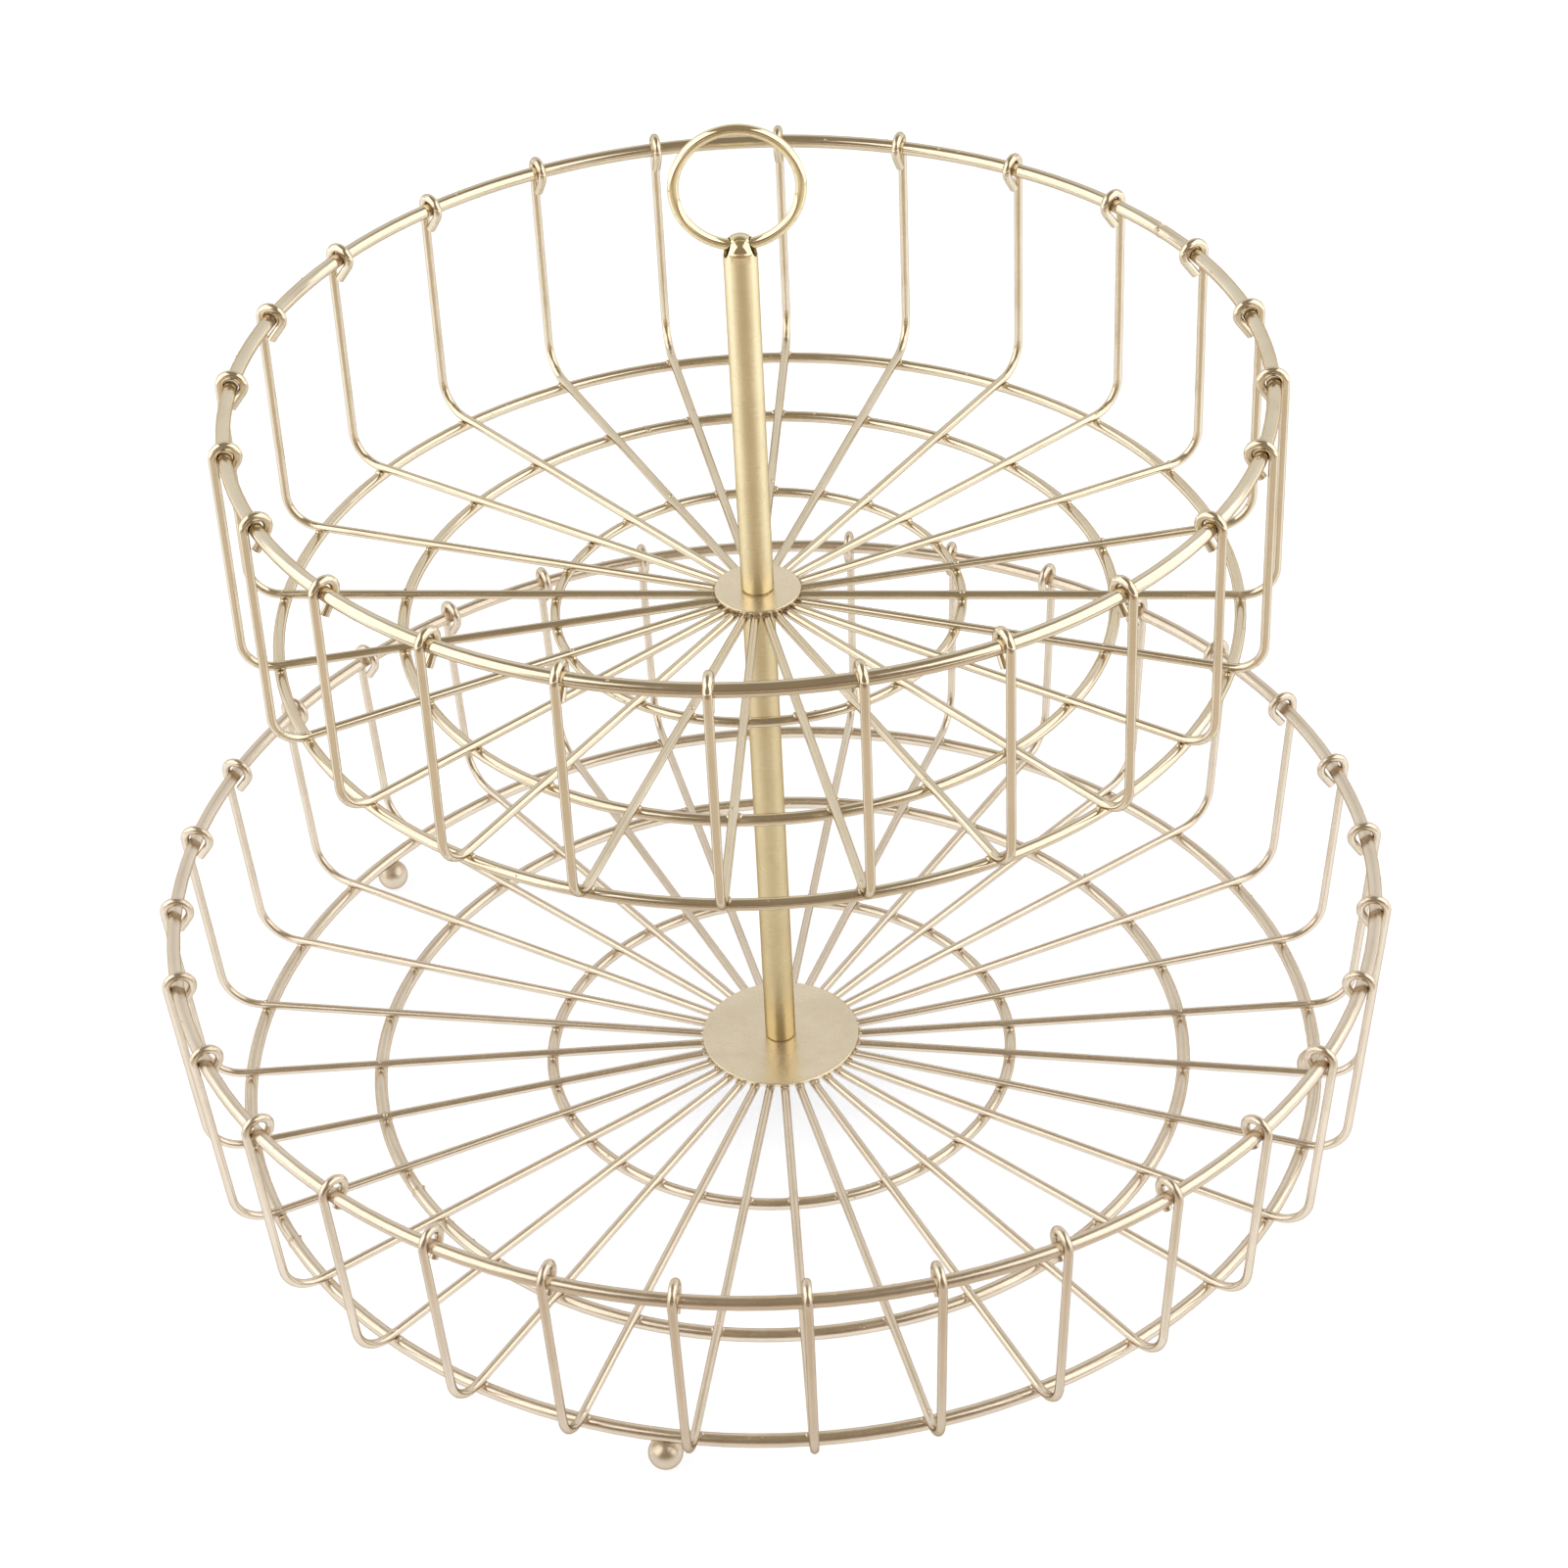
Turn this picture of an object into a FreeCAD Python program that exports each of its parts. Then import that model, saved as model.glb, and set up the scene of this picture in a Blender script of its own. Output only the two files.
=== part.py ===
import FreeCAD, Part
import math
import os

# Two-tier wire basket: two welded wire baskets on one pole, with a ring handle on top.
# Millimetres, Z up. The origin is on the pole's axis, on the table under the ball feet.

# Wire
spoke_wire = 2.2
rim_wire = 3.4
lower_ring_wire = 3.4
lower_inner_ring_wire = 3.0
upper_ring_wire = 2.8
upper_inner_ring_wire = 2.4
weld_sink = 0.1

# Lower basket: radii to the middle of the wire, the flare from the outer floor ring out to the rim,
# and the other floor rings' radii as shares of the outer one's
lower_spokes = 32
lower_first_bearing = 1.1
lower_rim_radius = 154.0
lower_flare = 12.4
lower_middle_share = 0.756
lower_inner_share = 0.432
lower_wall_height = 55.5
lower_bend_radius = 10.0
lower_bend_lead = 1.5
lower_hook_slack = 0.6
lower_hook_tip = 4.3
lower_disc_lap = 8.0

# Upper basket, in the same way
upper_spokes = 24
upper_first_bearing = 9.7
upper_rim_radius = 122.4
upper_flare = 5.5
upper_middle_share = 0.742
upper_inner_share = 0.425
upper_wall_height = 59.4
upper_bend_radius = 8.0
upper_bend_lead = 0.3
upper_hook_slack = 0.2
upper_hook_tip = 5.2
upper_disc_lap = 1.0

# Spoke ends: how far the hook turns, and the room between ends under the disc
hook_turn = 216.0
spoke_end_gap = 0.3
disc_thickness = 1.2
disc_edge = 0.3

# Ball feet, at the bearings where they are welded under the lower outer ring
foot_diameter = 8.5
foot_flat = 0.15
foot_bearings = {"front": 256.7, "left": 140.4, "right": 355.3}

# Pole
tube_diameter = 8.0
tube_wall = 0.8
tube_edge = 0.2
foot_groove_height = 0.3
foot_groove_depth = 0.4
lower_tube_length = 142.0
upper_tube_length = 92.7
disc_turn_gap = 0.1
handle_radius = 14.5
handle_wire = 2.6
handle_rise = 1.4
handle_hole = 4.4
handle_hole_edge = 0.2
handle_seat_angle = 35.0
handle_fit = 0.04
dome_floor = 0.6

# Threads and fasteners inside the pole; a thread is a plain cylinder
stud_diameter = 4.0
stud_reach = 8.0
insert_length = 9.0
insert_recess = 0.4
insert_fit = 0.02
thread_clearance = 0.05
screw_hole_clearance = 0.15
screw_reach = 8.0
screw_head_diameter = 7.6
screw_head_height = 2.4
screw_head_edge = 0.8
screw_slot_width = 1.1
screw_slot_length = 4.4
screw_slot_depth = 1.2
washer_diameter = 12.0
washer_thickness = 1.0
cut_overrun = 1.0

half_turn = 180.0
full_turn = 360.0
axis_z = FreeCAD.Vector(0, 0, 1)
axis_x = FreeCAD.Vector(1, 0, 0)
axis_y = FreeCAD.Vector(0, 1, 0)
centre = FreeCAD.Vector(0, 0, 0)


def at(radius, height):
    """A point on the plane of a spoke that points along X."""
    return FreeCAD.Vector(radius, 0, height)


def turned(shape, bearing):
    copy = shape.copy()
    copy.rotate(centre, axis_z, bearing)
    return copy


def rod(radius, bottom, top):
    """A round bar on the pole's axis."""
    return Part.makeCylinder(radius, top - bottom, at(0, bottom))


def wire_ring(radius, wire, height):
    return Part.makeTorus(radius, wire / 2, at(0, height))


def arc(middle, radius, start, end):
    """An arc in a spoke's plane, angles in degrees from outwards, turning up."""
    points = []
    for share in (0, 0.5, 1):
        angle = math.radians(start + (end - start) * share)
        points.append(middle + at(radius * math.cos(angle), radius * math.sin(angle)))
    return Part.Arc(*points).toShape()


class Basket:
    """Heights and radii of one basket, worked out from the height of its spokes on the floor."""

    def __init__(self, name, spokes, first_bearing, floor, rim_radius, wall_height, bend_radius, bend_lead,
                 hook_slack, hook_tip, disc_lap, rings):
        self.name = name
        self.spokes = spokes
        self.first_bearing = first_bearing
        self.floor = floor
        self.rim_radius = rim_radius
        self.rim_height = floor + wall_height
        self.bend_radius = bend_radius
        self.bend_start = rings["outer"][0] + bend_lead
        self.hook_slack = hook_slack
        self.hook_tip = hook_tip
        self.rings = rings
        self.spoke_start = (spoke_wire + spoke_end_gap) / (2 * math.sin(math.pi / spokes))
        self.disc_radius = self.spoke_start + disc_lap
        self.disc_bottom = floor + spoke_wire / 2 - weld_sink
        self.disc_top = self.disc_bottom + disc_thickness

    def ring_height(self, wire):
        """A floor ring lies under the spokes and is welded to them."""
        return self.floor - (spoke_wire + wire) / 2 + weld_sink

    def spoke_path(self):
        """Floor run, bend, upright that leans on the rim from outside, hook over the rim, straight tip."""
        bend = at(self.bend_start, self.floor + self.bend_radius)
        rim = at(self.rim_radius, self.rim_height)
        lean_on = (rim_wire + spoke_wire) / 2 - weld_sink
        across = rim - bend
        lean = math.acos((self.bend_radius - lean_on) / across.Length) - math.atan2(across.z, across.x)
        outwards = at(math.cos(lean), -math.sin(lean))
        upwards = at(math.sin(lean), math.cos(lean))
        hook_radius = lean_on + self.hook_slack
        hook = rim + (upwards - outwards) * self.hook_slack
        lean_degrees = math.degrees(lean)
        bend_arc = arc(bend, self.bend_radius, -half_turn / 2, -lean_degrees)
        hook_arc = arc(hook, hook_radius, -lean_degrees, hook_turn)
        hook_end = hook_arc.valueAt(hook_arc.LastParameter)
        tip_angle = math.radians(hook_turn)
        tip = hook_end + at(-math.sin(tip_angle), math.cos(tip_angle)) * self.hook_tip
        floor_run = Part.makeLine(at(self.spoke_start, self.floor), at(self.bend_start, self.floor))
        upright = Part.makeLine(bend + outwards * self.bend_radius, hook + outwards * hook_radius)
        return Part.Wire([floor_run, bend_arc, upright, hook_arc, Part.makeLine(hook_end, tip)])

    def spoke(self):
        path = self.spoke_path()
        section = Part.Wire(Part.makeCircle(spoke_wire / 2, at(self.spoke_start, self.floor), axis_x))
        return path.makePipe(Part.Face(section))

    def spoke_pairs(self):
        """Spokes in opposite pairs, one node for each pair."""
        spoke = self.spoke()
        pairs = {}
        for number in range(self.spokes // 2):
            bearing = self.first_bearing + full_turn * number / self.spokes
            pair = [turned(spoke, bearing), turned(spoke, bearing + half_turn)]
            pairs[f"{self.name}_spoke_pair_{number + 1:02d}"] = Part.makeCompound(pair)
        return pairs

    def floor_rings(self):
        nodes = {}
        for place, (radius, wire) in self.rings.items():
            nodes[f"{self.name}_{place}_ring"] = wire_ring(radius, wire, self.ring_height(wire))
        return nodes

    def disc(self, hole_radius):
        plate = rod(self.disc_radius, self.disc_bottom, self.disc_top)
        round_edges = [edge for edge in plate.Edges if edge.isClosed()]
        plate = plate.makeFillet(min(disc_edge, disc_thickness / 4), round_edges)
        return plate.cut(rod(hole_radius, self.disc_bottom - cut_overrun, self.disc_top + cut_overrun))

    def nodes(self, hole_radius):
        made = {f"{self.name}_rim": wire_ring(self.rim_radius, rim_wire, self.rim_height)}
        made.update(self.floor_rings())
        made[f"{self.name}_disc"] = self.disc(hole_radius)
        made.update(self.spoke_pairs())
        return made


def ball_feet(basket):
    """Balls welded under the outer floor ring, each ground to a small flat where it stands."""
    radius, wire = basket.rings["outer"]
    middle = basket.ring_height(wire) - (wire + foot_diameter) / 2 + weld_sink
    ball = Part.makeSphere(foot_diameter / 2, at(radius, middle))
    below = Part.makeBox(2 * foot_diameter, 2 * foot_diameter, foot_diameter,
                         FreeCAD.Vector(radius - foot_diameter, -foot_diameter, -foot_diameter))
    ball = ball.cut(below)
    return {f"{place}_ball_foot": turned(ball, bearing) for place, bearing in foot_bearings.items()}


def tube_insert(bottom):
    """A threaded bush pressed into a tube's end."""
    bush = rod(tube_bore_radius - insert_fit, bottom, bottom + insert_length)
    return bush.cut(rod(thread_bore_radius, bottom - cut_overrun, bottom + insert_length + cut_overrun))


def pole_bar(bottom, top, eased_below):
    """A solid bar for a tube, on a narrow groove at its foot, its ends below a height rounded."""
    bar = rod(tube_diameter / 2, bottom + foot_groove_height, top)
    edges = [edge for edge in bar.Edges if edge.isClosed() and edge.BoundBox.ZMax < eased_below]
    bar = bar.makeFillet(tube_edge, edges)
    return bar.fuse(rod(tube_diameter / 2 - foot_groove_depth, bottom, bottom + foot_groove_height))


def lower_tube():
    tube = pole_bar(lower.disc_top, upper.disc_bottom, upper.disc_top)
    return tube.cut(rod(tube_bore_radius, lower.disc_top - cut_overrun, upper.disc_bottom + cut_overrun))


def on_hole_lip(edge, hole):
    """Whether an edge is part of the lip where the ring handle's hole comes out."""
    reaches = [math.hypot(vertex.Y - hole.y, vertex.Z - hole.z) for vertex in edge.Vertexes]
    one_side = edge.BoundBox.XMin * edge.BoundBox.XMax > 0
    return one_side and all(abs(reach - handle_hole / 2) < handle_fit for reach in reaches)


def upper_tube():
    """Tube with a domed end, drilled across for the ring handle, which rests high at the back of the hole."""
    tube = pole_bar(upper_tube_bottom, dome_base, (upper_tube_bottom + dome_base) / 2)
    tube = tube.fuse(Part.makeSphere(tube_diameter / 2, at(0, dome_base))).removeSplitter()
    lip_reach = math.sqrt((tube_diameter / 2) ** 2 - (handle_rise + handle_wire / 2) ** 2)
    sag = handle_radius - math.sqrt(handle_radius ** 2 - lip_reach ** 2)
    play = (handle_hole - handle_wire) / 2 - handle_fit
    seat = math.radians(handle_seat_angle)
    hole = at(-tube_diameter, handle_bottom + sag - play * math.cos(seat)) - axis_y * play * math.sin(seat)
    tube = tube.cut(Part.makeCylinder(handle_hole / 2, 2 * tube_diameter, hole, axis_x))
    lip = [edge for edge in tube.Edges if on_hole_lip(edge, hole)]
    tube = tube.makeChamfer(handle_hole_edge, lip)
    return tube.cut(rod(tube_bore_radius, upper_tube_bottom - cut_overrun, dome_base - dome_floor))


def ring_handle():
    return Part.makeTorus(handle_radius, handle_wire / 2, at(0, handle_bottom + handle_radius), axis_y)


def base_screw():
    """Pan-head screw with a cross slot, up through the washer and the lower disc."""
    head_top = lower.disc_bottom - washer_thickness
    head_bottom = head_top - screw_head_height
    head = rod(screw_head_diameter / 2, head_bottom, head_top)
    bottom_edges = [edge for edge in head.Edges if edge.BoundBox.ZMax < (head_bottom + head_top) / 2]
    head = head.makeFillet(screw_head_edge, bottom_edges)
    slot_corner = FreeCAD.Vector(-screw_slot_length / 2, -screw_slot_width / 2, head_bottom - cut_overrun)
    slot = Part.makeBox(screw_slot_length, screw_slot_width, screw_slot_depth + cut_overrun, slot_corner)
    head = head.cut(slot.fuse(turned(slot, half_turn / 2)))
    return head.fuse(rod(stud_diameter / 2, head_top, lower.disc_top + screw_reach)).removeSplitter()


def base_washer():
    top = lower.disc_bottom
    washer = rod(washer_diameter / 2, top - washer_thickness, top)
    return washer.cut(rod(screw_hole_radius, top - washer_thickness - cut_overrun, top + cut_overrun))


def joining_stud():
    return rod(stud_diameter / 2, upper.disc_bottom - stud_reach, upper.disc_top + stud_reach)


# Floor rings
lower_outer_radius = lower_rim_radius - lower_flare
upper_outer_radius = upper_rim_radius - upper_flare

# Heights, from the table up
lower_ring_height = foot_diameter - foot_flat + lower_ring_wire / 2 - weld_sink
lower_floor = lower_ring_height + (lower_ring_wire + spoke_wire) / 2 - weld_sink
lower = Basket("lower", lower_spokes, lower_first_bearing, lower_floor, lower_rim_radius, lower_wall_height,
               lower_bend_radius, lower_bend_lead, lower_hook_slack, lower_hook_tip, lower_disc_lap,
               {"outer": (lower_outer_radius, lower_ring_wire),
                "middle": (lower_outer_radius * lower_middle_share, lower_ring_wire),
                "inner": (lower_outer_radius * lower_inner_share, lower_inner_ring_wire)})
upper_floor = lower.disc_top + lower_tube_length - spoke_wire / 2 + weld_sink
upper = Basket("upper", upper_spokes, upper_first_bearing, upper_floor, upper_rim_radius, upper_wall_height,
               upper_bend_radius, upper_bend_lead, upper_hook_slack, upper_hook_tip, upper_disc_lap,
               {"outer": (upper_outer_radius, upper_ring_wire),
                "middle": (upper_outer_radius * upper_middle_share, upper_ring_wire),
                "inner": (upper_outer_radius * upper_inner_share, upper_inner_ring_wire)})
upper_tube_bottom = upper.disc_top + disc_turn_gap
dome_base = upper_tube_bottom + upper_tube_length
handle_bottom = dome_base + handle_rise
tube_bore_radius = tube_diameter / 2 - tube_wall
thread_bore_radius = stud_diameter / 2 + thread_clearance
screw_hole_radius = stud_diameter / 2 + screw_hole_clearance

parts = {}
parts.update(lower.nodes(screw_hole_radius))
parts.update(upper.nodes(thread_bore_radius))
parts.update(ball_feet(lower))
parts["lower_tube"] = lower_tube()
parts["upper_tube"] = upper_tube()
parts["ring_handle"] = ring_handle()
parts["lower_tube_base_insert"] = tube_insert(lower.disc_top + insert_recess)
parts["lower_tube_top_insert"] = tube_insert(upper.disc_bottom - insert_recess - insert_length)
parts["upper_tube_insert"] = tube_insert(upper_tube_bottom + insert_recess)
parts["joining_stud"] = joining_stud()
parts["base_screw"] = base_screw()
parts["base_washer"] = base_washer()

os.makedirs("parts", exist_ok=True)
for name, shape in parts.items():
    shape.exportStep(f"parts/{name}.step")
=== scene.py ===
import math
import random

import bmesh
import bpy
from mathutils import Matrix, Vector


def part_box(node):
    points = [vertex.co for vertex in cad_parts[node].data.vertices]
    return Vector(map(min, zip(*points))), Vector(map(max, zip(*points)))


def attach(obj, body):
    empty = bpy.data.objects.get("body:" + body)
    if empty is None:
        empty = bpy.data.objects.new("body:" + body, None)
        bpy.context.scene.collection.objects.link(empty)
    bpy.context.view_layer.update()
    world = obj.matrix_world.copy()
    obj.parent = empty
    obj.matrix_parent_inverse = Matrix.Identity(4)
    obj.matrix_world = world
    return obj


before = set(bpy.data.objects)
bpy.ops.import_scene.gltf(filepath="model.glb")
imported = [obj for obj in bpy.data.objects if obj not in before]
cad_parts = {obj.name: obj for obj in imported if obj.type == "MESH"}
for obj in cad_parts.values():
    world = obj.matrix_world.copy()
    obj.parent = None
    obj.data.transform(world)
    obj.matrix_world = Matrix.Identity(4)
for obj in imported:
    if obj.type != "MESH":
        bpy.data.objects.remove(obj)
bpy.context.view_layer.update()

# The two-tier wire basket: painted wire, brushed pole, polished ring, on a white studio floor.
# Metres, in the frame of the solids, with the pole on the Z axis and the viewer on the -Y side.

MM = 0.001
UP = Vector((0, 0, 1))
WHITE = (1, 1, 1)
BLACK = (0, 0, 0)

# Camera, fitted to the photograph's square frame; its turns are in radians
FRAME_SIDE = 1601
FOCAL_PIXELS = 3763.9
SENSOR_WIDTH = 36
CAMERA_PLACE = Vector((0, -0.74468, 0.66085))
CAMERA_YAW = 0.0055
CAMERA_PITCH = 0.6475
CAMERA_ROLL = -0.0484

# Spokes: how many, and the first one's bearing in degrees
LOWER_SPOKES = (32, 1.1)
UPPER_SPOKES = (24, 9.7)
SPOKE_RADIUS = 1.1 * MM

# Lumps of weld metal: how uneven they are, and the small nubs among them, as a share of their size
LUMP_UNEVEN = 0.12
NUB_UNEVEN = 0.2

# Welds between spokes and floor rings, in millimetres: how deep they sit in the ring, how far from the
# spoke's middle, and their half sizes along the ring, across it and upright
FLOOR_WELD_SINK = 0.1
FLOOR_WELD_REACH = (0.7, 1.4)
FLOOR_WELD_SIZE = ((0.5, 0.8), (0.6, 1.1), (0.4, 0.6))

# Nubs on top of the spokes there: how often, how high in spoke radii, how far aside, their half sizes,
# and how these vary
FLOOR_NUB_CHANCE = 0.3
FLOOR_NUB_RISE = 1.85
FLOOR_NUB_STRAY = (-0.5, 0.5)
FLOOR_NUB_SIZE = Vector((0.6, 0.45, 0.35))
FLOOR_NUB_SWELL = (0.8, 1.3)

# Welds where spokes come out from under a disc, in millimetres: how far past its edge, how far from the
# spoke's middle, how far under the disc, and their half sizes along the spoke, across it and upright
DISC_WELD_OUT = (-0.1, 0.25)
DISC_WELD_REACH = (0.7, 1.0)
DISC_WELD_DROP = 0.2
DISC_WELD_SIZE = ((0.5, 0.9), (0.3, 0.5), (0.3, 0.5))

# Nubs on top of the spokes there
DISC_NUB_CHANCE = 0.2
DISC_NUB_OUT = 0.3
DISC_NUB_RISE = 0.15
DISC_NUB_SIZE = Vector((0.5, 0.6, 0.3))
DISC_NUB_SWELL = (0.7, 1.2)

# Butt welds that close the rings: bearings in degrees
SEAMS = {
    "lower_outer_ring": 207.5,
    "lower_middle_ring": 207.5,
    "upper_middle_ring": 108,
    "upper_rim": 31.25,
}

# Flash at a butt weld, in millimetres: half the space between its two ridges, their half thickness, how
# far they stand off the wire, and the half sizes of the lump on the wire's inner side, with its slope up
FLASH_APART = 0.32
FLASH_THICKNESS = 0.22
FLASH_HEIGHT = 0.15
FLASH_LUMP_SIZE = Vector((0.75, 0.6, 0.45))
FLASH_LUMP_SLOPE = 0.6
FLASH_SEGMENTS = (24, 10)

# Specks of paint: how many on a floor ring and on a rim, their spread round the wire in radians, half
# size in millimetres, stretch along the wire, and the share of their size that is sunk in it
RING_SPECKS = 24
RIM_SPECKS = 50
SPECK_SPREAD = 1.0
SPECK_SIZE = (0.14, 0.34)
SPECK_STRETCH = Vector((1.4, 1, 1))
SPECK_SINK = 0.2

# Noise: the part of its range that is used, narrow for clouds of colour and wider for the rest
CLOUD_SPAN = (0.35, 0.65)
NOISE_SPAN = (0.3, 0.7)

# Metal-flake paint: lumps to the metre of its clouds, flakes and gloss, the shade of the darkest flakes,
# and the tint of metal seen at a glancing angle
PAINT_CLOUDS = 70
PAINT_FLAKES = 4200
PAINT_GLOSS = 320
FLAKE_SHADE = (0.97, 0.97, 0.97)
METAL_EDGE = (0.42, 0.34, 0.24, 1)

# Brushed pole: lumps to the metre of its clouds, dents and brush lines, the lines' stretch and shade,
# relief in millimetres, roughness of the brushed tube and of the polished dome, and the heights between
# which the one turns into the other
POLE_CLOUDS = 55
POLE_DENTS = 300
POLE_DENT_DEPTH = 0.015
BRUSH_LINES = 60
BRUSH_STRETCH = (1, 1, 60)
BRUSH_SHADE = (0.96, 0.96, 0.96)
BRUSH_DEPTH = 0.012
BRUSHED_GLOSS = (0.26, 0.36)
BRUSHED_STREAKING = 0.8
DOME_GLOSS = 0.1
DOME_POLISH = (0.2494, 0.2508)
POLE_METALLIC = 0.97
ROUND_THE_TUBE = 0.25

# The ring handle's hole across the pole, where painted shade darkens the metal inside it
HOLE_MIDDLE = Vector((0, -0.487, 251.89)) * MM
HOLE_EDGE = (2.2 * MM, 2.35 * MM)
HOLE_SHADE = (0.2, 0.14, 0.08)

# Turned metal: lumps to the metre of its rings and gloss, the rings' stretch and depth in millimetres
TURNED_RINGS = 90
TURNED_STRETCH = (1, 1, 25)
TURNED_DEPTH = 0.02
TURNED_GLOSS = 600

# Floor: half its side, its paint, and what it adds to the light that falls on it to come out white, near
# the basket and far out where no lamp is
FLOOR_HALF_SIDE = 6
FLOOR_PAINT = (0.9, 0.9, 0.9, 1)
FLOOR_NEAR = (0.413, 0.461, 0.53)
FLOOR_FAR = WHITE
FLOOR_FADE = (0.5, 1.2)

# A glowing card that paints the reflection of the studio's dim front, seen only in the metal: half its
# width and depth, its middle, the stretch along Y over which its tones change, and those tones from near
# the basket outwards
CARD_SIZE = Vector((0.8, 1.2, 1))
CARD_PLACE = Vector((0, -1.34, 0.001))
CARD_FADE = (-0.14, -0.74)
CARD_TONES = (
    (0, WHITE),
    (0.08, (0.71, 0.6, 0.5)),
    (0.27, (0.76, 0.66, 0.55)),
    (0.43, (0.72, 0.62, 0.5)),
    (0.68, (0.44, 0.33, 0.24)),
    (1, (0.31, 0.215, 0.148)),
)

# The air: tones by height of the dim room and of the white sweep behind, and where along Y the sweep
# takes over
CEILING = (0.28, 0.23, 0.16)
ROOM_TONES = ((0.1, (0.265, 0.195, 0.13)), (0.8, CEILING))
SWEEP_TONES = ((0.1, WHITE), (0.62, (0.85, 0.84, 0.82)), (0.9, CEILING))
SWEEP_SPAN = (0.2, 0.5)

# Soft boxes: the right one's place, their width, height and watts, and what they point at
SOFT_BOX_PLACE = Vector((1.05, -0.25, 0.8))
SOFT_BOX_SIZE = (1.7, 1.5)
SOFT_BOX_POWER = 11
SOFT_BOX_TARGET = Vector((0, 0, 0.14))

luck = random.Random(41)


# Laying out on the rings

def ring_of(node):
    """Radius, height and wire radius of a ring that lies flat round the pole."""
    low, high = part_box(node)
    wire = (high.z - low.z) / 2
    return high.x - wire, (low.z + high.z) / 2, wire


def bearings(spokes):
    """Each spoke's bearing in radians."""
    count, first = spokes
    return [math.radians(first + 360 * number / count) for number in range(count)]


def outwards(bearing):
    return Vector((math.cos(bearing), math.sin(bearing), 0))


def placed(place, along, size):
    """Where a lump sits: its first axis along a direction, its third as near to upright as that allows."""
    across = UP.cross(along).normalized()
    turn = Matrix((along, across, along.cross(across))).transposed().to_4x4()
    return Matrix.Translation(place) @ turn @ Matrix.Diagonal((*size, 1))


def drawn(span):
    """A length drawn from a span in millimetres."""
    return luck.uniform(*span) * MM


# Pieces

def new_object(name, mesh):
    """Makes an object of a finished mesh."""
    data = bpy.data.meshes.new(name)
    mesh.to_mesh(data)
    mesh.free()
    made = bpy.data.objects.new(name, data)
    bpy.context.scene.collection.objects.link(made)
    return made


def settle(name, mesh, body, finish):
    """Makes a smooth piece of a finished mesh, riding on its body."""
    for face in mesh.faces:
        face.smooth = True
    piece = new_object(name, mesh)
    piece.data.materials.append(finish)
    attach(piece, body)


def lump(mesh, place, along, size, uneven=LUMP_UNEVEN):
    """One lump of weld metal under the paint, a little uneven."""
    made = bmesh.ops.create_icosphere(mesh, subdivisions=2, radius=1, matrix=placed(place, along, size))
    for vertex in made["verts"]:
        vertex.co += (vertex.co - place) * luck.uniform(-uneven, uneven)


def floor_welds(node, spokes):
    """Weld metal squeezed out where each spoke lies on a floor ring."""
    radius, height, wire = ring_of(node)
    mesh = bmesh.new()
    for bearing in bearings(spokes):
        out = outwards(bearing)
        along = UP.cross(out)
        contact = out * radius + UP * (height + wire - FLOOR_WELD_SINK * MM)
        for side in (-1, 1):
            reach = drawn(FLOOR_WELD_REACH)
            size = Vector([drawn(span) for span in FLOOR_WELD_SIZE])
            lump(mesh, contact + along * side * reach, along, size)
        if luck.random() < FLOOR_NUB_CHANCE:
            nub = contact + UP * SPOKE_RADIUS * FLOOR_NUB_RISE + along * drawn(FLOOR_NUB_STRAY)
            lump(mesh, nub, out, FLOOR_NUB_SIZE * drawn(FLOOR_NUB_SWELL), NUB_UNEVEN)
    return mesh


def butt_seam(node, bearing):
    """Two thin ridges of flash and a lump round the wire, where a ring's ends are welded together."""
    radius, height, wire = ring_of(node)
    out = outwards(math.radians(bearing))
    along = UP.cross(out)
    middle = out * radius + UP * height
    ridge = wire + FLASH_HEIGHT * MM
    size = Vector((FLASH_THICKNESS * MM, ridge, ridge))
    segments, rings = FLASH_SEGMENTS
    mesh = bmesh.new()
    for side in (-1, 1):
        place = middle + along * side * FLASH_APART * MM
        bmesh.ops.create_uvsphere(mesh, u_segments=segments, v_segments=rings, radius=1,
                                  matrix=placed(place, along, size))
    skin = (UP * FLASH_LUMP_SLOPE - out).normalized()
    lump(mesh, middle + skin * wire, along, FLASH_LUMP_SIZE * MM, NUB_UNEVEN)
    return mesh


def disc_welds(disc, spokes):
    """Weld metal where the spokes come out from under a disc."""
    low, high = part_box(disc)
    mesh = bmesh.new()
    for bearing in bearings(spokes):
        out = outwards(bearing)
        along = UP.cross(out)
        for side in (-1, 1):
            size = Vector([drawn(span) for span in DISC_WELD_SIZE])
            place = out * (high.x + drawn(DISC_WELD_OUT)) + along * side * drawn(DISC_WELD_REACH)
            lump(mesh, place + UP * (low.z - DISC_WELD_DROP * MM), out, size)
        if luck.random() < DISC_NUB_CHANCE:
            nub = out * (high.x + DISC_NUB_OUT * MM) + UP * (low.z + DISC_NUB_RISE * MM)
            lump(mesh, nub, out, DISC_NUB_SIZE * drawn(DISC_NUB_SWELL), NUB_UNEVEN)
    return mesh


def paint_specks(node, count):
    """Small droplets of paint and spatter on the upper side of a ring's wire."""
    radius, height, wire = ring_of(node)
    mesh = bmesh.new()
    for _ in range(count):
        out = outwards(luck.uniform(0, 2 * math.pi))
        tilt = luck.gauss(0, SPECK_SPREAD)
        skin = out * math.sin(tilt) + UP * math.cos(tilt)
        size = drawn(SPECK_SIZE)
        place = out * radius + UP * height + skin * (wire - SPECK_SINK * size)
        bmesh.ops.create_icosphere(mesh, subdivisions=1, radius=1,
                                   matrix=placed(place, UP.cross(out), SPECK_STRETCH * size))
    return mesh


# Finishes

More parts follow.
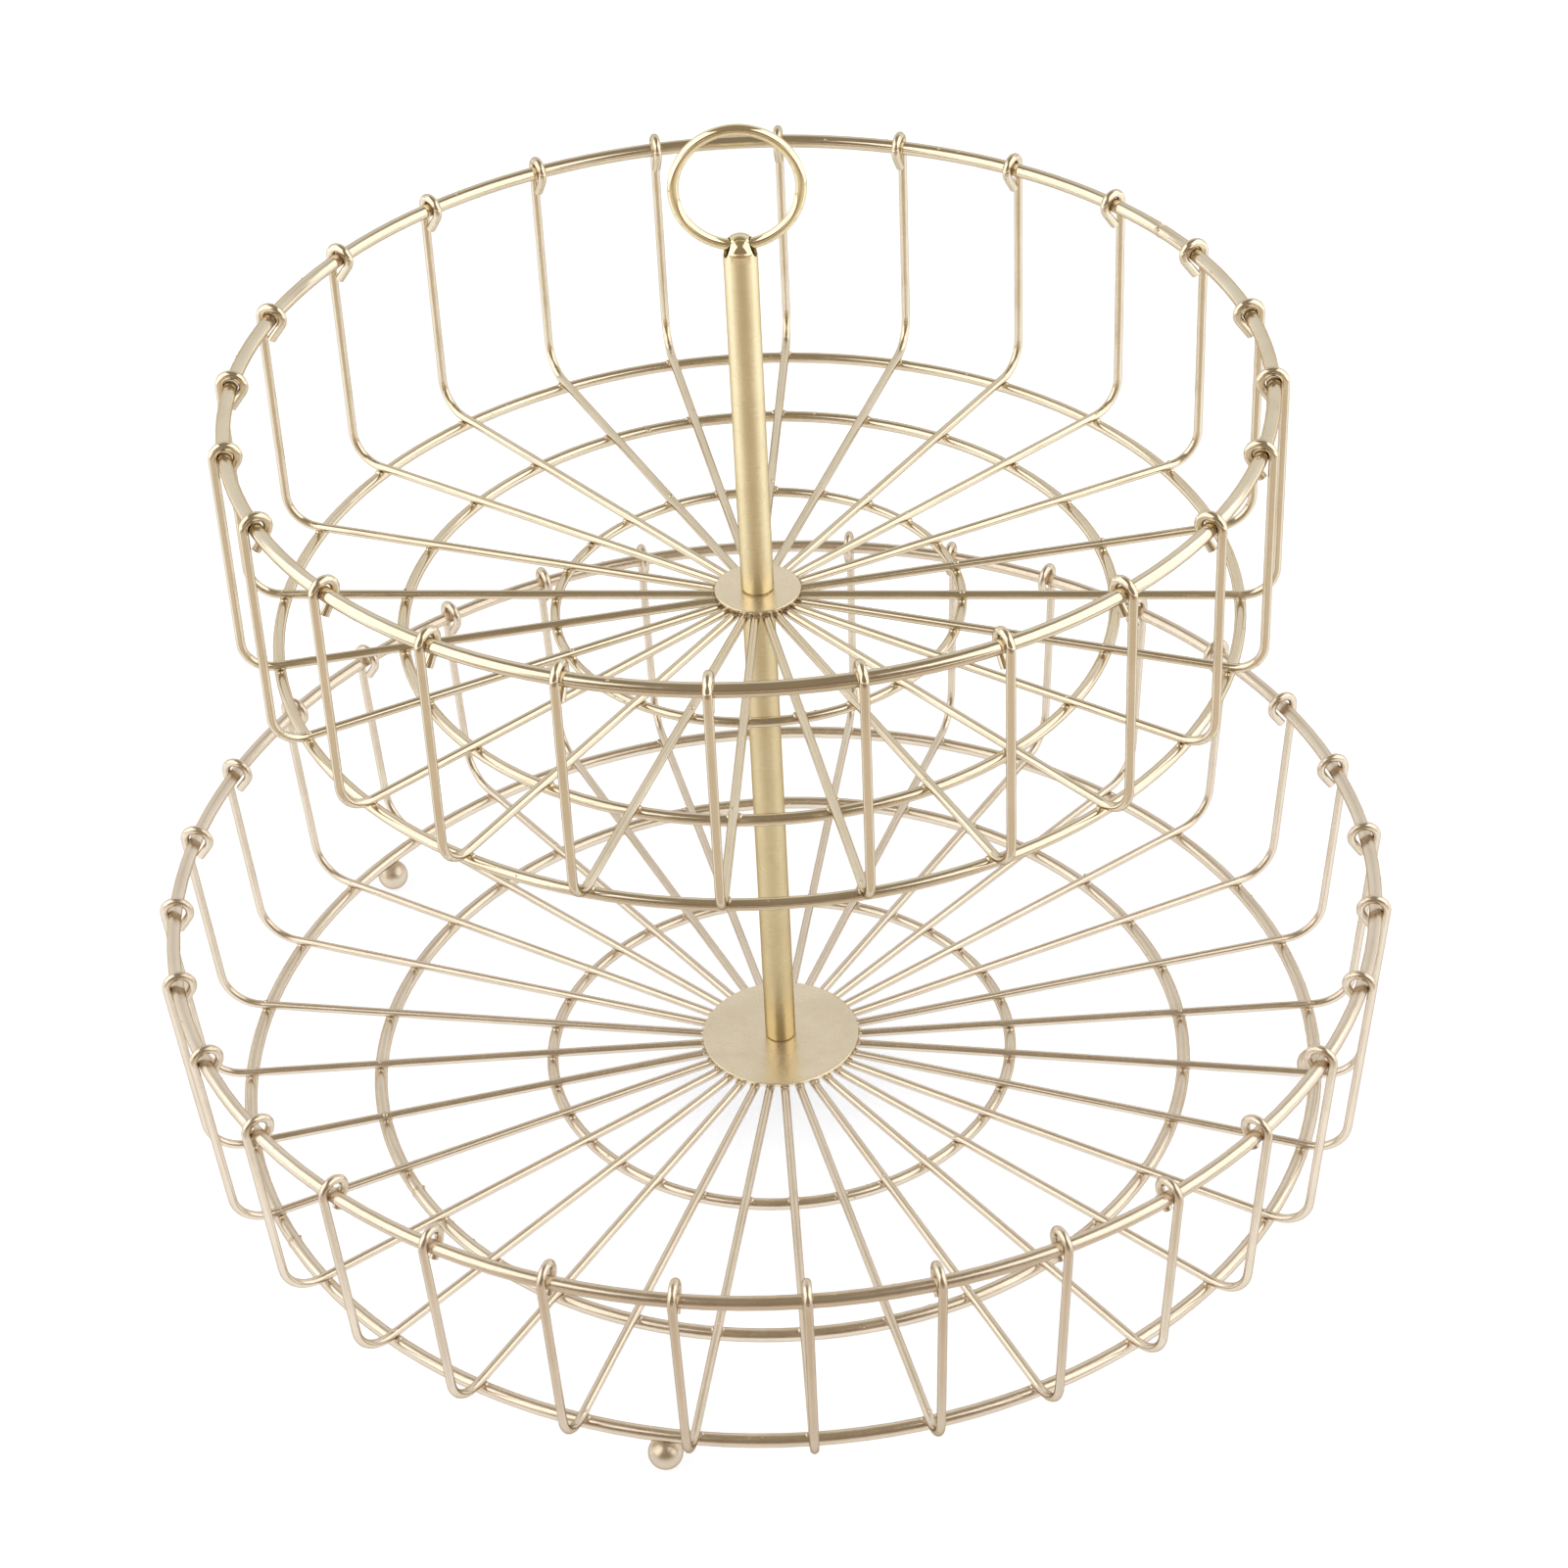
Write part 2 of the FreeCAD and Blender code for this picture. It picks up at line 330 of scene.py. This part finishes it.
class Nodes:
    """The shading nodes of a material or of the air."""

    def __init__(self, owner):
        owner.use_nodes = True
        self.nodes = owner.node_tree.nodes
        self.links = owner.node_tree.links

    def node(self, kind, **settings):
        made = self.nodes.new("ShaderNode" + kind)
        for name, value in settings.items():
            setattr(made, name, value)
        return made

    def join(self, source, target):
        self.links.new(source, target)

    def feed(self, target, value):
        """Sets a socket to a number, or joins it to what varies."""
        if isinstance(value, bpy.types.NodeSocket):
            self.join(value, target)
        else:
            target.default_value = value

    def split(self, vector):
        """The three parts of a vector, by name."""
        made = self.node("SeparateXYZ")
        self.join(vector, made.inputs[0])
        return made.outputs

    def length(self, vector):
        made = self.node("VectorMath", operation="LENGTH")
        self.join(vector, made.inputs[0])
        return made.outputs["Value"]

    def ramp(self, factor, stops):
        """Colours along a value, each stop a position and a colour."""
        made = self.node("ValToRGB")
        points = made.color_ramp.elements
        while len(points) < len(stops):
            points.new(0.5)
        for point, (position, colour) in zip(points, stops):
            point.position = position
            point.color = (*colour, 1)
        self.join(factor, made.inputs["Fac"])
        return made.outputs["Color"]

    def tones(self, factor, span, first, last):
        """From one colour to another over a span of a value."""
        return self.ramp(factor, ((span[0], first), (span[1], last)))

    def blend(self, kind, factor, first, second):
        made = self.node("Mix", data_type="RGBA", blend_type=kind)
        self.feed(made.inputs["Factor"], factor)
        self.join(first, made.inputs["A"])
        self.join(second, made.inputs["B"])
        return made.outputs["Result"]

    def remap(self, factor, span, low=0, high=1):
        """Carries a value from a span to a new range, which may itself vary."""
        made = self.node("MapRange")
        made.inputs["From Min"].default_value, made.inputs["From Max"].default_value = span
        self.feed(made.inputs["To Min"], low)
        self.feed(made.inputs["To Max"], high)
        self.join(factor, made.inputs["Value"])
        return made.outputs["Result"]


class Finish(Nodes):
    """A material's nodes, on Object coordinates."""

    def __init__(self, name):
        self.material = bpy.data.materials.new(name)
        super().__init__(self.material)
        self.shader = self.nodes["Principled BSDF"]
        self.place = self.node("TexCoord").outputs["Object"]
        self.normal = None

    def noise(self, scale, detail=3, roughness=0.5, stretch=None):
        """Noise of so many lumps to the metre, stretched where a grain runs one way."""
        made = self.node("TexNoise")
        made.inputs["Scale"].default_value = scale
        made.inputs["Detail"].default_value = detail
        made.inputs["Roughness"].default_value = roughness
        place = self.place
        if stretch:
            mapping = self.node("Mapping")
            mapping.inputs["Scale"].default_value = stretch
            self.join(place, mapping.inputs["Vector"])
            place = mapping.outputs["Vector"]
        self.join(place, made.inputs["Vector"])
        return made.outputs["Fac"]

    def bump(self, height, depth):
        """Adds relief of so many millimetres on top of the relief before it."""
        made = self.node("Bump")
        made.inputs["Distance"].default_value = depth * MM
        self.join(height, made.inputs["Height"])
        if self.normal:
            self.join(self.normal, made.inputs["Normal"])
        self.normal = made.outputs["Normal"]
        self.feed_shader(Normal=self.normal)

    def painted_hole_shade(self):
        """Painted shade: dark inside the ring handle's hole, white everywhere else."""
        across = self.node("Mapping")
        across.inputs["Location"].default_value = -HOLE_MIDDLE
        across.inputs["Scale"].default_value = (0, 1, 1)
        self.join(self.place, across.inputs["Vector"])
        shine = self.remap(self.length(across.outputs["Vector"]), HOLE_EDGE)
        return self.tones(shine, (0, 1), HOLE_SHADE, WHITE)

    def feed_shader(self, **sockets):
        for name, value in sockets.items():
            self.feed(self.shader.inputs[name.replace("_", " ")], value)

    def show(self, shader):
        """Puts another shader in the place of the usual one."""
        self.nodes.remove(self.shader)
        self.join(shader, self.nodes["Material Output"].inputs["Surface"])


def gold_paint(name, pale, deep, gloss, metallic, *relief):
    """Metal-flake paint: cloudy colour, gloss that comes and goes, and relief in lumps of several sizes."""
    finish = Finish(name)
    clouds = finish.tones(finish.noise(PAINT_CLOUDS), CLOUD_SPAN, deep, pale)
    flakes = finish.tones(finish.noise(PAINT_FLAKES, detail=1), NOISE_SPAN, FLAKE_SHADE, WHITE)
    colour = finish.blend("MULTIPLY", 1, clouds, flakes)
    roughness = finish.remap(finish.noise(PAINT_GLOSS, detail=4), NOISE_SPAN, *gloss)
    for scale, depth in relief:
        finish.bump(finish.noise(scale, detail=2), depth)
    finish.feed_shader(Base_Color=colour, Roughness=roughness, Metallic=metallic, Specular_Tint=METAL_EDGE)
    return finish


def brushed_gold(name, pale, deep):
    """The pole: fine lines round the tube, left by the polishing belt, and a polished dome."""
    finish = Finish(name)
    polish = finish.remap(finish.split(finish.place)["Z"], DOME_POLISH)
    lines = finish.noise(BRUSH_LINES, roughness=0.6, stretch=BRUSH_STRETCH)
    clouds = finish.tones(finish.noise(POLE_CLOUDS), CLOUD_SPAN, deep, pale)
    streaks = finish.tones(lines, NOISE_SPAN, BRUSH_SHADE, WHITE)
    colour = finish.blend("MULTIPLY", 1, clouds, streaks)
    # Painted shade inside the ring handle's hole, multiplied into the pole's colour
    colour = finish.blend("MULTIPLY", 1, colour, finish.painted_hole_shade())
    brushed = finish.remap(lines, NOISE_SPAN, *BRUSHED_GLOSS)
    roughness = finish.remap(polish, (0, 1), brushed, DOME_GLOSS)
    streaking = finish.remap(polish, (0, 1), BRUSHED_STREAKING, 0)
    finish.bump(finish.noise(POLE_DENTS, detail=2), POLE_DENT_DEPTH)
    finish.bump(lines, BRUSH_DEPTH)
    finish.feed_shader(Base_Color=colour, Roughness=roughness, Metallic=POLE_METALLIC)
    finish.feed_shader(Anisotropic=streaking, Anisotropic_Rotation=ROUND_THE_TUBE, Specular_Tint=METAL_EDGE)
    return finish


def turned_metal(name, pale, deep, gloss):
    """Plain turned metal for the fittings inside and under the pole."""
    finish = Finish(name)
    rings = finish.noise(TURNED_RINGS, detail=2, stretch=TURNED_STRETCH)
    colour = finish.tones(rings, NOISE_SPAN, deep, pale)
    roughness = finish.remap(finish.noise(TURNED_GLOSS), NOISE_SPAN, *gloss)
    finish.bump(rings, TURNED_DEPTH)
    finish.feed_shader(Base_Color=colour, Roughness=roughness, Metallic=1)
    return finish


# Each has its pale and deep colour and its roughness; the paints add how metallic they are and their
# relief, each with lumps to the metre and depth in millimetres
finishes = {
    "lower_wire": gold_paint("lower_wire_gold_paint", (0.805, 0.712, 0.588), (0.75, 0.657, 0.533),
                             (0.19, 0.27), 0.94, (380, 0.01), (1500, 0.003)),
    "upper_wire": gold_paint("upper_wire_gold_paint", (0.81, 0.725, 0.575), (0.755, 0.67, 0.52),
                             (0.12, 0.19), 0.96, (380, 0.006), (1500, 0.0015)),
    "disc_gold": gold_paint("disc_gold_paint", (0.92, 0.82, 0.64), (0.86, 0.76, 0.58),
                            (0.24, 0.3), 0.85, (260, 0.03), (90, 0.14)),
    # Painted shade: dark brown paint for the welds under the upper disc's edge
    "scorched_weld": gold_paint("scorched_weld", (0.44, 0.34, 0.23), (0.26, 0.19, 0.12),
                                (0.3, 0.42), 0.8, (380, 0.01)),
    "foot_gold": gold_paint("foot_gold_paint", (0.78, 0.69, 0.56), (0.72, 0.63, 0.5),
                            (0.28, 0.36), 0.9, (380, 0.01), (1500, 0.002)),
    "handle_gold": gold_paint("handle_polished_gold", (0.97, 0.88, 0.62), (0.93, 0.84, 0.57),
                              (0.07, 0.12), 1, (380, 0.004), (1500, 0.0005)),
    "lower_tube": brushed_gold("lower_tube_brushed_gold", (0.75, 0.635, 0.40), (0.70, 0.585, 0.35)),
    "upper_tube": brushed_gold("upper_tube_brushed_gold", (0.94, 0.84, 0.58), (0.88, 0.78, 0.52)),
    "insert_brass": turned_metal("insert_brass_turned", (0.78, 0.6, 0.26), (0.68, 0.5, 0.2), (0.2, 0.34)),
    "fastener_zinc": turned_metal("fastener_zinc_plate", (0.7, 0.71, 0.72), (0.58, 0.59, 0.6), (0.24, 0.4)),
}

# Wire and tube are painted tier by tier, everything else by its slot
for name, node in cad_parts.items():
    for slot in node.material_slots:
        kind = slot.material.name.split(".")[0]
        if kind in ("wire_gold", "tube_gold"):
            kind = name.split("_")[0] + "_" + kind.split("_")[0]
        slot.material = finishes[kind].material

# Welds, specks and seams; the welds at the upper disc are painted dark brown, as painted shade under the
# disc's edge
for tier, spokes in (("lower", LOWER_SPOKES), ("upper", UPPER_SPOKES)):
    body = tier + "_basket"
    paint = finishes[tier + "_wire"].material
    made = {}
    for place in ("outer", "middle", "inner"):
        ring = f"{tier}_{place}_ring"
        made[ring + "_welds"] = floor_welds(ring, spokes)
        made[ring + "_specks"] = paint_specks(ring, RING_SPECKS)
    rim = tier + "_rim"
    made[rim + "_specks"] = paint_specks(rim, RIM_SPECKS)
    for ring, bearing in SEAMS.items():
        if ring.startswith(tier):
            made[ring + "_seam"] = butt_seam(ring, bearing)
    for name, mesh in made.items():
        settle(name, mesh, body, paint)
    # The upper disc's welds take the painted shade, the lower disc's welds the wire paint
    disc_weld_paint = finishes["scorched_weld"].material if tier == "upper" else paint
    settle(tier + "_disc_welds", disc_welds(tier + "_disc", spokes), body, disc_weld_paint)


# Studio

def studio_floor():
    """White floor that stays white to the camera and in the metal, and keeps a faint shadow."""
    mesh = bmesh.new()
    bmesh.ops.create_grid(mesh, x_segments=1, y_segments=1, size=FLOOR_HALF_SIDE)
    floor = new_object("studio_floor", mesh)
    finish = Finish("studio_white")
    matt = finish.node("BsdfDiffuse")
    matt.inputs["Color"].default_value = FLOOR_PAINT
    glow = finish.node("Emission")
    far = finish.remap(finish.length(finish.place), FLOOR_FADE)
    finish.join(finish.tones(far, (0, 1), FLOOR_NEAR, FLOOR_FAR), glow.inputs["Color"])
    rays = finish.node("LightPath")
    seen = rays.outputs["Is Camera Ray"]
    for ray in ("Is Glossy Ray", "Is Transmission Ray"):
        either = finish.node("Math", operation="MAXIMUM")
        finish.join(seen, either.inputs[0])
        finish.join(rays.outputs[ray], either.inputs[1])
        seen = either.outputs[0]
    finish.join(seen, glow.inputs["Strength"])
    both = finish.node("AddShader")
    finish.join(matt.outputs[0], both.inputs[0])
    finish.join(glow.outputs[0], both.inputs[1])
    finish.show(both.outputs[0])
    floor.data.materials.append(finish.material)


def dark_card():
    """Painted reflection: a glowing card for the dim front of the studio, past the edge of the frame, that
    shows only in the metal.
    """
    mesh = bmesh.new()
    made = bmesh.ops.create_grid(mesh, x_segments=1, y_segments=1, size=1)
    bmesh.ops.scale(mesh, vec=CARD_SIZE, verts=made["verts"])
    bmesh.ops.translate(mesh, vec=CARD_PLACE, verts=made["verts"])
    card = new_object("dark_card", mesh)
    finish = Finish("dark_card")
    depth = finish.remap(finish.split(finish.place)["Y"], CARD_FADE)
    glow = finish.node("Emission")
    finish.join(finish.ramp(depth, CARD_TONES), glow.inputs["Color"])
    finish.show(glow.outputs[0])
    card.data.materials.append(finish.material)
    card.visible_camera = False
    card.visible_diffuse = False
    card.visible_shadow = False
    card.visible_transmission = False


def studio_air():
    """A white sweep rises behind the basket; the room in front and overhead is dim and a little warm.

    To the camera the air is white on every side.
    """
    world = bpy.data.worlds.new("studio_air")
    bpy.context.scene.world = world
    air = Nodes(world)
    towards = air.split(air.node("TexCoord").outputs["Generated"])
    room = air.ramp(towards["Z"], ROOM_TONES)
    sweep = air.ramp(towards["Z"], SWEEP_TONES)
    behind = air.tones(towards["Y"], SWEEP_SPAN, BLACK, WHITE)
    around = air.blend("MIX", behind, room, sweep)
    seen = air.tones(air.node("LightPath").outputs["Is Camera Ray"], (0, 1), BLACK, WHITE)
    air.join(air.blend("LIGHTEN", 1, around, seen), air.nodes["Background"].inputs["Color"])


def soft_box(name, side):
    """A soft box on one side of the basket."""
    lamp = bpy.data.lights.new(name, "AREA")
    lamp.shape = "RECTANGLE"
    lamp.size, lamp.size_y = SOFT_BOX_SIZE
    lamp.energy = SOFT_BOX_POWER
    box = bpy.data.objects.new(name, lamp)
    bpy.context.scene.collection.objects.link(box)
    box.location = SOFT_BOX_PLACE * Vector((side, 1, 1))
    box.rotation_euler = (SOFT_BOX_TARGET - box.location).to_track_quat("-Z", "Y").to_euler()


def photo_camera():
    """The camera where the photograph was taken from."""
    level = Vector((math.sin(CAMERA_YAW), math.cos(CAMERA_YAW), 0))
    forward = level * math.cos(CAMERA_PITCH) - UP * math.sin(CAMERA_PITCH)
    right = level.cross(UP)
    upright = right.cross(forward)
    rolled_right = math.cos(CAMERA_ROLL) * right + math.sin(CAMERA_ROLL) * upright
    rolled_up = math.cos(CAMERA_ROLL) * upright - math.sin(CAMERA_ROLL) * right
    lens = bpy.data.cameras.new("photo_camera")
    lens.sensor_width = SENSOR_WIDTH
    lens.lens = FOCAL_PIXELS / FRAME_SIDE * SENSOR_WIDTH
    camera = bpy.data.objects.new("photo_camera", lens)
    bpy.context.scene.collection.objects.link(camera)
    turn = Matrix((rolled_right, rolled_up, -forward)).transposed().to_4x4()
    camera.matrix_world = Matrix.Translation(CAMERA_PLACE) @ turn
    bpy.context.scene.camera = camera


studio_floor()
# Painted reflection of a dim studio front, seen only in the metal
dark_card()
studio_air()
soft_box("left_soft_box", -1)
soft_box("right_soft_box", 1)
photo_camera()
bpy.context.scene.view_settings.view_transform = "Standard"
